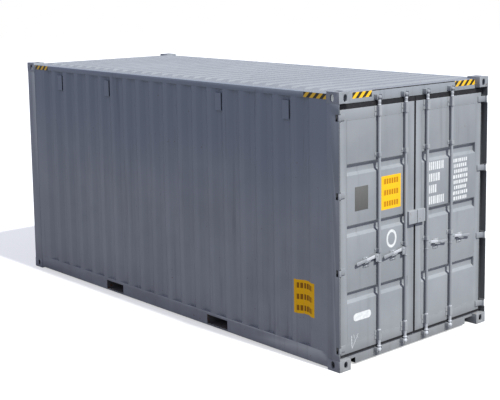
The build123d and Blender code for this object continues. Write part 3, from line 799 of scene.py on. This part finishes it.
# %% [markdown]
# A catch is a plate on the leaf with a ledge that carries the handle and a gusset under
# it. The ledge follows the handle's droop, so it is an outline in Y and Z drawn out from
# the door.

# %% Handle catches
CATCH_FROM_ROD, CATCH_WIDTH, CATCH_HEIGHT = 178 * MM, 90 * MM, 110 * MM
CATCH_PLATE, LEDGE_THICK, LEDGE_REACH = 6 * MM, 8 * MM, 35 * MM


def under_bar(along):
    """The height just under the handle, at a distance from its rod."""
    half_bar = HANDLE_HALF / math.cos(HANDLE_DROOP) + 0.3 * MM
    return HANDLE_LEVEL - math.tan(HANDLE_DROOP) * (along - PIN_OFFSET) - half_bar


near, far = CATCH_FROM_ROD - CATCH_WIDTH / 2, CATCH_FROM_ROD + CATCH_WIDTH / 2
middle = under_bar(far)
for side, sign in SIDES:
    bm = bmesh.new()
    bolts = bmesh.new()
    for place in rods_of(sign):
        y_near, y_far = place.y + sign * near, place.y + sign * far
        low = (DOOR_FACE, min(y_near, y_far), middle - CATCH_HEIGHT / 2)
        high = (DOOR_FACE + CATCH_PLATE, max(y_near, y_far), middle + CATCH_HEIGHT / 2)
        add_box(bm, low, high, 2 * MM)
        top = [(y_near, under_bar(near)), (y_far, under_bar(far))]
        ledge = top + [(y, z - LEDGE_THICK) for y, z in reversed(top)]
        add_outline(bm, [(DOOR_FACE, y, z) for y, z in ledge], (LEDGE_REACH, 0, 0), 1.5 * MM)
        gusset = place.y + sign * CATCH_FROM_ROD - 3 * MM
        corners = [
            (DOOR_FACE, gusset, middle - 4 * MM), (DOOR_FACE + 32 * MM, gusset, middle - 4 * MM),
            (DOOR_FACE, gusset, middle - 42 * MM),
        ]
        add_outline(bm, corners, (0, 6 * MM, 0), 1 * MM)
        for rise in (-43 * MM, 43 * MM):
            spot = place.y + sign * CATCH_FROM_ROD
            add_bolt(bolts, DOOR_FACE + CATCH_PLATE, spot, middle + rise, 6.5 * MM)
    keep(f"{side}_handle_catches", bm, f"{side}_door", "gear")
    keep(f"{side}_catch_bolts", bolts, f"{side}_door", "galvanised", bright_zinc)
print("catches", round(middle, 3), "m above the ground")

# %% [markdown]
# The padlock box guards the lock where the leaves meet. It is a hood, open below and
# split at the gap, with a tongue inside. A box loses its open faces and gets its wall
# thickness with solidify, as a folded sheet would.

# %% Padlock box
BOX_HALF, BOX_FOOT, BOX_HEIGHT, BOX_REACH = 136 * MM, 1380 * MM, 143 * MM, 40 * MM
BOX_GAP, BOX_WALL, TONGUE_AT, TONGUE_HALF = 4 * MM, 4 * MM, 30 * MM, 4 * MM
for side, sign in SIDES:
    bm = bmesh.new()
    near, far = sign * BOX_GAP, sign * BOX_HALF
    low = (DOOR_FACE, min(near, far), BOX_FOOT)
    high = (DOOR_FACE + BOX_REACH, max(near, far), BOX_FOOT + BOX_HEIGHT)
    add_box(bm, low, high)
    lids = [
        face for face in bm.faces
        if face.normal.z < -0.9 or face.normal.x < -0.9 or face.normal.y * sign < -0.9
    ]
    bmesh.ops.delete(bm, geom=lids, context="FACES")
    soften(bm, list(bm.verts), 5 * MM, 3)
    bmesh.ops.solidify(bm, geom=list(bm.faces), thickness=BOX_WALL)
    low = (DOOR_FACE, sign * TONGUE_AT - TONGUE_HALF, BOX_FOOT - 18 * MM)
    high = (DOOR_FACE + 26 * MM, sign * TONGUE_AT + TONGUE_HALF, BOX_FOOT + 60 * MM)
    add_box(bm, low, high, 2 * MM)
    keep(f"{side}_padlock_box", bm, f"{side}_door", "gear")
print("padlock box", BOX_HEIGHT, "m tall")

# %% [markdown]
# ## Weld beads
# Beads of weld join the walls, posts and leaves to what is next to them. A curve with a
# small round bevel is the easiest bead: it takes a path of points and gives a tube. It is
# turned into a mesh at once, so that it is like every other piece.

# %% Weld helper
def weld(name, paths, body, slot, radius):
    curve = bpy.data.curves.new(name, "CURVE")
    curve.dimensions = "3D"
    curve.bevel_depth = radius
    curve.bevel_resolution = 1
    curve.use_fill_caps = True
    for path in paths:
        spline = curve.splines.new("POLY")
        spline.points.add(len(path) - 1)
        for point, place in zip(spline.points, path):
            point.co = (*place, 1.0)
    maker = bpy.data.objects.new(name, curve)
    link(maker)
    bpy.context.view_layer.update()
    evaluated = maker.evaluated_get(bpy.context.evaluated_depsgraph_get())
    bm = bmesh.new()
    bm.from_mesh(bpy.data.meshes.new_from_object(evaluated))
    bpy.data.objects.remove(maker)
    bpy.data.curves.remove(curve)
    keep(name, bm, body, slot, smooth=60.0)


# %% [markdown]
# The side sheets are pressed in waves, and the bead follows them. The wave's sizes are
# the same as in the CAD model: a flat crest, a slope, a flat hollow and a slope back.

# %% The wave of the side sheets
WAVE_CREST, WAVE_HOLLOW, WAVE_SLOPE, WAVE_DEPTH = 72 * MM, 70 * MM, 68 * MM, 36 * MM
WAVE_PITCH = WAVE_CREST + WAVE_HOLLOW + 2 * WAVE_SLOPE
WAVES = 9
rail_low, rail_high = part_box("top_rail_left")
SIDE_Y = -rail_low.y
SHEET_END = rail_high.x


def side_depth(x):
    """How deep the side sheet lies at a place along the length."""
    if abs(x) > (WAVES + 0.5) * WAVE_PITCH - WAVE_CREST / 2:
        return 0.0
    off = abs((x / WAVE_PITCH + 0.5) % 1.0 - 0.5) * WAVE_PITCH
    share = (WAVE_HOLLOW / 2 + WAVE_SLOPE - off) / WAVE_SLOPE
    return WAVE_DEPTH * min(1.0, max(0.0, share))


inner, outer = WAVE_HOLLOW / 2, WAVE_HOLLOW / 2 + WAVE_SLOPE
wave_knots = [-SHEET_END]
for k in range(-WAVES, WAVES + 1):
    wave_knots += [k * WAVE_PITCH + off for off in (-outer, -inner, inner, outer)]
wave_knots.append(SHEET_END)
print("waves:", 2 * WAVES + 1, "pitch", round(WAVE_PITCH, 3))

# %% Weld beads on the body
FLOOR_LEVEL, RAIL_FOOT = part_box("side_wall_left")[0].z, rail_low.z
side_paths = []
for _, sign in SIDES:
    for level in (FLOOR_LEVEL + 1 * MM, RAIL_FOOT - 1 * MM):
        side_paths.append([(x, sign * (SIDE_Y - side_depth(x)), level) for x in wave_knots])
weld("wall_weld_beads", side_paths, "container", "wall_paint", 2.5 * MM)

post_low, post_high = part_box("door_post_left")
POST_PLATE, POST_FACE = 6 * MM, 110 * MM
post_paths = []
for _, sign in SIDES:
    edge = sign * -post_low.y
    for end, inward in ((-1, POST_FACE), (1, POST_PLATE)):
        corner = end * post_high.x
        for level in (post_low.z, post_high.z):
            post_paths.append([
                (end * SHEET_END, edge, level), (corner, edge, level),
                (corner, edge - sign * inward, level),
            ])
weld("post_weld_beads", post_paths, "container", "frame_paint", 2.5 * MM)

# %% Weld beads on the leaves
panel_low, panel_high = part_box("right_door_panel")
for side, sign in SIDES:
    paths = [
        [(DOOR_FACE, sign * y, level) for y in (panel_low.y, panel_high.y)]
        for level in (panel_low.z, panel_high.z)
    ]
    weld(f"{side}_leaf_weld_beads", paths, f"{side}_door", "door_paint", 2 * MM)
print("weld beads:", len(side_paths), "on the walls and", len(post_paths), "at the posts")

# %% [markdown]
# ## Striped tape and plain labels
# Tall containers have black and yellow tape at the upper corners and yellow sheets on
# the side and the door. Here the sheets carry no words, only rows of plain bars. Tape is
# a thin plate with a slanted pattern, which takes Z from X or Y, repeats the result with
# FRACT and cuts it at the half. A thin black strip near the top of the header, between its
# two pieces of tape, is painted shade: it stands for the dark line under the roof's edge.

# %% Striped tape material
STRIPE_PITCH = 98 * MM
TAPE_YELLOW, TAPE_BLACK = colour(0.80, 0.47, 0.012), colour(0.028, 0.021, 0.008)


def striped(name, axis, shift=0.0):
    material, tree, shader = start_material(name, 0.45)
    run = maths(tree, "SUBTRACT", axis_value(tree, axis), axis_value(tree, "Z"))
    run = maths(tree, "ADD", run, 50.0 + shift)
    phase = maths(tree, "FRACT", maths(tree, "DIVIDE", run, STRIPE_PITCH))
    black = maths(tree, "GREATER_THAN", phase, 0.5)
    tone = blend_colour(tree, black, TAPE_YELLOW, TAPE_BLACK)
    worn = place_group(tree, chips, Amount=0.8, Scale=50.0)
    tone = blend_colour(tree, worn, tone, GREY_FADED)
    tone = blend_colour(tree, place_group(tree, rain_streaks, Amount=0.5), tone, GRIME_AND_SHADE)
    skin = place_group(tree, sprayed_skin, Grain=0.6, Dents=0.2)
    dress(tree, shader, tone, skin, 0.6 * MM, stretch(tree, worn, 0.0, 1.0, 0.42, 0.6))
    return material


tape_along_x = striped("tape_along_x", "X")
tape_along_y = striped("tape_along_y", "Y", 28 * MM)

# %% Striped tape pieces
TAPE_THICK, SHADE_STRIP_THICK = 0.6 * MM, 1.5 * MM
HEADER_FACE = DOOR_FACE - 14 * MM
SIDE_TAPES, HEADER_TAPES = ((-2.82, -2.50), (2.512, 2.840)), ((-0.958, -0.671), (0.694, 1.052))
bm = bmesh.new()
for _, sign in SIDES:
    face, skin = sign * SIDE_Y, sign * (SIDE_Y + TAPE_THICK)
    for start, end in SIDE_TAPES:
        low = (start, min(face, skin), RAIL_FOOT + 2 * MM)
        add_box(bm, low, (end, max(face, skin), rail_high.z - 2 * MM))
keep("side_striped_tape", bm, "container", material=tape_along_x)
bm = bmesh.new()
for start, end in HEADER_TAPES:
    add_box(bm, (HEADER_FACE, start, 2.807), (HEADER_FACE + TAPE_THICK, end, 2.870))
keep("header_striped_tape", bm, "container", material=tape_along_y)
# A black strip that is painted shade: the dark line under the roof's edge.
bm = bmesh.new()
low, high = (HEADER_FACE, -0.665, 2.866), (HEADER_FACE + SHADE_STRIP_THICK, 0.688, 2.875)
add_box(bm, low, high, 0.5 * MM, 1)
keep("header_shade_strip", bm, "container", material=finish["rubber"])
print("tape on", 2 * len(SIDE_TAPES) + len(HEADER_TAPES), "places")

# %% [markdown]
# A yellow sheet on the side wall follows the waves. It starts as a few points along the
# wave, is extruded upwards as one strip, and gets its thickness with solidify. Rows of
# dark bars stand where such sheets have words.

# %% Label materials
BAR_ROWS, BARS_A_ROW = 3, 8


def barred(name, ground, ink, axis, box):
    """A sheet with rows of plain bars. The box is its limits along an axis and along Z."""
    material, tree, shader = start_material(name, 0.6)
    shader.inputs["Specular IOR Level"].default_value = 0.2
    start, end, foot, top = box
    shares = []
    for way, low, high in ((axis, start, end), ("Z", foot, top)):
        off = maths(tree, "SUBTRACT", axis_value(tree, way), (low + high) / 2)
        shares.append(maths(tree, "ADD", maths(tree, "DIVIDE", off, high - low), 0.5))
    bar = off_middle(tree, times(tree, shares[0], BARS_A_ROW))
    row = off_middle(tree, times(tree, shares[1], BAR_ROWS))
    ends = maths(tree, "ABSOLUTE", maths(tree, "SUBTRACT", shares[0], 0.5))
    mask = 1.0
    for off, limit in ((row, 0.24), (bar, 0.36), (ends, 0.4)):
        mask = times(tree, mask, maths(tree, "LESS_THAN", off, limit))
    tone = blend_colour(tree, mask, ground, ink)
    worn = place_group(tree, chips, Amount=0.3, Scale=60.0)
    tone = blend_colour(tree, worn, tone, GREY_FADED)
    tone = blend_colour(tree, place_group(tree, rain_streaks, Amount=0.3), tone, GRIME_AND_SHADE)
    dress(tree, shader, tone, place_group(tree, sprayed_skin, Grain=0.4, Dents=0.3), 0.5 * MM)
    return material


SIDE_YELLOW, SIDE_INK = colour(0.93, 0.49, 0.002), colour(0.30, 0.12, 0.002)
DOOR_YELLOW, DOOR_INK = colour(0.79, 0.45, 0.012), colour(0.42, 0.18, 0.003)

# %% Yellow sheets
SIDE_LABEL = (2.345, 2.654, 0.500, 0.868)
first, last, foot, top = SIDE_LABEL
for side, sign in SIDES:
    bm = bmesh.new()
    knots = [first] + [x for x in wave_knots if first < x < last] + [last]
    line = [bm.verts.new((x, sign * (SIDE_Y - side_depth(x) + 0.7 * MM), foot)) for x in knots]
    edges = [bm.edges.new(pair) for pair in zip(line, line[1:])]
    lift(bm, bmesh.ops.extrude_edge_only(bm, edges=edges), (0, 0, top - foot))
    bmesh.ops.recalc_face_normals(bm, faces=bm.faces)
    bmesh.ops.solidify(bm, geom=list(bm.faces), thickness=0.5 * MM)
    material = barred(f"yellow_sheet_{side}", SIDE_YELLOW, SIDE_INK, "X", SIDE_LABEL)
    keep(f"{side}_wall_yellow_sheet", bm, "container", material=material)
print("side sheets are", round(last - first, 2), "m wide")

# %% Door sheet
FILM = 0.6 * MM


def door_plate(name, box, material, thick=FILM, round_off=0.0):
    """A thin plate on the face of the left leaf. The box is its limits along Y and Z."""
    bm = bmesh.new()
    y0, y1, z0, z1 = box
    add_box(bm, (DOOR_FACE, y0, z0), (DOOR_FACE + thick, y1, z1), round_off)
    keep(name, bm, "left_door", material=material)


DOOR_LABEL = (-0.537, -0.230, 1.592, 1.953)
material = barred("yellow_sheet_door", DOOR_YELLOW, DOOR_INK, "Y", DOOR_LABEL)
door_plate("left_leaf_yellow_sheet", DOOR_LABEL, material)
print("the door sheet is", round(DOOR_LABEL[1] - DOOR_LABEL[0], 2), "m wide")

# %% [markdown]
# The grey plate is a blank sheet of aluminium with four rivets. Its finish is dull and a
# little brown. The white marks are thin films: a ring, a round-ended strip, and rows of
# bars where a container lists its weights.

# %% Grey plate with rivets
material, tree, shader = start_material("plate_metal", 0.5, 0.3)
brushed = noise(tree, 1.0, 3.0, drawn=(1, 240, 6))
tone = blend_colour(tree, brushed, colour(0.105, 0.105, 0.098), colour(0.150, 0.150, 0.140))
dress(tree, shader, tone, brushed, 0.2 * MM)
GREY_PLATE, RIVET_IN = (-0.938, -0.742, 1.645, 1.895), 12 * MM
door_plate("left_leaf_grey_plate", GREY_PLATE, material, 2.5 * MM, 0.8 * MM)
bm = bmesh.new()
y0, y1, z0, z1 = GREY_PLATE
for y in (y0 + RIVET_IN, y1 - RIVET_IN):
    for z in (z0 + RIVET_IN, z1 - RIVET_IN):
        add_disc(bm, facing_x(DOOR_FACE + 3.2 * MM, y, z), 5 * MM, 2 * MM, 12, 0.8 * MM)
keep("left_leaf_plate_rivets", bm, "left_door", material=material)

# %% White film
material, tree, shader = start_material("white_film", 0.4)
scuff = stretch(tree, noise(tree, 34.0, 5.0, 0.6), 0.35, 0.68)
tone = blend_colour(tree, scuff, colour(0.66, 0.68, 0.68), colour(0.54, 0.56, 0.57))
tone = blend_colour(tree, place_group(tree, chips, Amount=0.5, Scale=70.0), tone, GREY_FADED)
dress(tree, shader, tone, scuff, 0.2 * MM)
white_film = material

# %% Ring and strip
RING_Y, RING_Z, RING_TALL, RING_WIDE, RING_HOLE = -0.375, 1.264, 0.0985, 0.080, 0.70
bm = bmesh.new()
rings = []
for share in (1.0, RING_HOLE):
    size = Matrix.Diagonal((RING_TALL * share, RING_WIDE * share, 1, 1))
    matrix = facing_x(DOOR_FACE, RING_Y, RING_Z) @ size
    made = bmesh.ops.create_circle(bm, cap_ends=False, segments=40, radius=1.0, matrix=matrix)
    rings += [edge for vert in made["verts"] for edge in vert.link_edges]
bmesh.ops.bridge_loops(bm, edges=list(dict.fromkeys(rings)))
lift(bm, bmesh.ops.extrude_face_region(bm, geom=list(bm.faces)), (FILM, 0, 0))
keep("left_leaf_white_ring", bm, "left_door", material=white_film)

STRIP_Y, STRIP_Z, STRIP_END, STRIP_RUN = -0.8285, 0.518, 0.042, 0.092
bm = bmesh.new()
matrix = facing_x(DOOR_FACE, STRIP_Y, STRIP_Z)
made = bmesh.ops.create_circle(bm, cap_ends=True, segments=40, radius=STRIP_END, matrix=matrix)
for vert in made["verts"]:
    vert.co.y += math.copysign(STRIP_RUN, vert.co.y - STRIP_Y)
lift(bm, bmesh.ops.extrude_face_region(bm, geom=list(bm.faces)), (FILM, 0, 0))
keep("left_leaf_white_strip", bm, "left_door", material=white_film)
print("the ring is", 2 * RING_TALL, "m tall")

# %% [markdown]
# Something scraped the left leaf near its lower corner and left a pale V. Each stroke is a
# narrow plate only a few tenths of a millimetre thick, in the tone of bared primer.

# %% Scratches
material, tree, shader = start_material("scraped_primer", 0.6)
rough = noise(tree, 90.0, 4.0)
share = stretch(tree, rough, 0.35, 0.6)
tone = blend_colour(tree, share, colour(0.36, 0.38, 0.40), colour(0.72, 0.74, 0.76))
dress(tree, shader, tone, rough, 0.2 * MM)
STROKES = (
    ((-0.991, 0.335), (-0.983, 0.190), 12), ((-0.983, 0.196), (-0.893, 0.340), 7),
    ((-0.960, 0.345), (-0.945, 0.290), 5), ((-0.920, 0.322), (-0.892, 0.292), 5),
)
bm = bmesh.new()
for start, end, wide in STROKES:
    start, end = Vector(start), Vector(end)
    run = end - start
    across = Vector((-run.y, run.x)).normalized() * wide * MM / 2
    tip = across * 0.4
    corners = (start + tip, end + tip, end - tip, start + run * 0.5 - across, start - tip)
    add_outline(bm, [(DOOR_FACE, spot.x, spot.y) for spot in corners], (0.4 * MM, 0, 0))
keep("left_leaf_scratches", bm, "left_door", material=material)
print(len(STROKES), "scratches drawn")

# %% [markdown]
# The bars stand in two blocks on the right leaf. A tall row is given by its height and its
# end, and a small one by its height and its start.

# %% Rows of plain bars
TALL_ROWS = ((1.919, 0.505), (1.790, 0.425), (1.662, 0.375), (1.536, 0.500))
SMALL_ROWS = [(1.955 - index * 0.062, 0.662 + 0.008 * (index % 3)) for index in range(8)]
TALL_START, TALL_HIGH, TALL_MOST = 0.240, 0.090, 0.030
SMALL_END, SMALL_HIGH, SMALL_MOST = 0.918, 0.040, 0.034
LEAST_BAR, BAR_GAP = 0.016, 0.012
draw = Random(7)
bm = bmesh.new()


def bar_row(start, end, level, high, most):
    """Bars of uneven length in one row, drawn by a seeded generator."""
    y = start
    while y < end - LEAST_BAR:
        run = min(draw.uniform(LEAST_BAR, most), end - y)
        add_box(bm, (DOOR_FACE, y, level), (DOOR_FACE + 0.5 * MM, y + run, level + high))
        y += run + BAR_GAP


for level, end in TALL_ROWS:
    bar_row(TALL_START, end, level, TALL_HIGH, TALL_MOST)
for level, start in SMALL_ROWS:
    bar_row(start, SMALL_END, level, SMALL_HIGH, SMALL_MOST)
keep("right_leaf_white_bars", bm, "right_door", material=white_film)
print("bars laid in", len(TALL_ROWS) + len(SMALL_ROWS), "rows")

# %% [markdown]
# ## The stage
# The container stands on a plain pale floor. A large soft sky lights every side. A sun
# lamp shines down from in front of the doors: it lights them and the roof, leaves the
# long sides in shade, and draws the shadows of the handles.

# %% Floor
bm = bmesh.new()
bmesh.ops.create_grid(bm, x_segments=1, y_segments=1, size=60.0)
mesh = bpy.data.meshes.new("floor_plane")
bm.to_mesh(mesh)
bm.free()
stage_floor = bpy.data.objects.new("floor_plane", mesh)
stage_floor.location.z = -1 * MM
link(stage_floor)
material, tree, shader = start_material("studio_floor", 0.9)
soft = noise(tree, 0.8, 2.0)
pale = blend_colour(tree, soft, colour(0.43, 0.43, 0.44), colour(0.47, 0.47, 0.47))
seen = tree.nodes.new("ShaderNodeLightPath").outputs["Is Camera Ray"]
feed(tree, shader.inputs["Base Color"], blend_colour(tree, seen, colour(0.20, 0.20, 0.21), pale))
glow = blend_colour(tree, seen, colour(0, 0, 0), colour(1, 1, 1))
feed(tree, shader.inputs["Emission Color"], glow)
shader.inputs["Emission Strength"].default_value = 0.55
mesh.materials.append(material)

# %% Sky and sun
world = bpy.data.worlds.new("studio")
bpy.context.scene.world = world
world.use_nodes = True
tree = world.node_tree
sky = tree.nodes["Background"]
sky.inputs["Color"].default_value = colour(0.70, 0.74, 1.0)
sky.inputs["Strength"].default_value = 0.66
white = tree.nodes.new("ShaderNodeBackground")
white.inputs["Color"].default_value = colour(1, 1, 1)
choose = tree.nodes.new("ShaderNodeMixShader")
feed(tree, choose.inputs[0], tree.nodes.new("ShaderNodeLightPath").outputs["Is Camera Ray"])
feed(tree, choose.inputs[1], sky.outputs[0])
feed(tree, choose.inputs[2], white.outputs[0])
feed(tree, tree.nodes["World Output"].inputs["Surface"], choose.outputs[0])

SUN_HEADING, SUN_HEIGHT = 3, 51
sun_data = bpy.data.lights.new("sun", "SUN")
sun_data.energy = 5.5
sun_data.angle = math.radians(2)
sun_data.color = (1.0, 1.0, 0.95)
sun = bpy.data.objects.new("sun", sun_data)
toward = direction(SUN_HEADING, SUN_HEIGHT)
sun.rotation_mode = "QUATERNION"
sun.rotation_quaternion = toward.to_track_quat("Z", "Y")
link(sun)
bpy.context.scene.view_settings.view_transform = "Standard"
print("sun from", [round(part, 2) for part in toward])
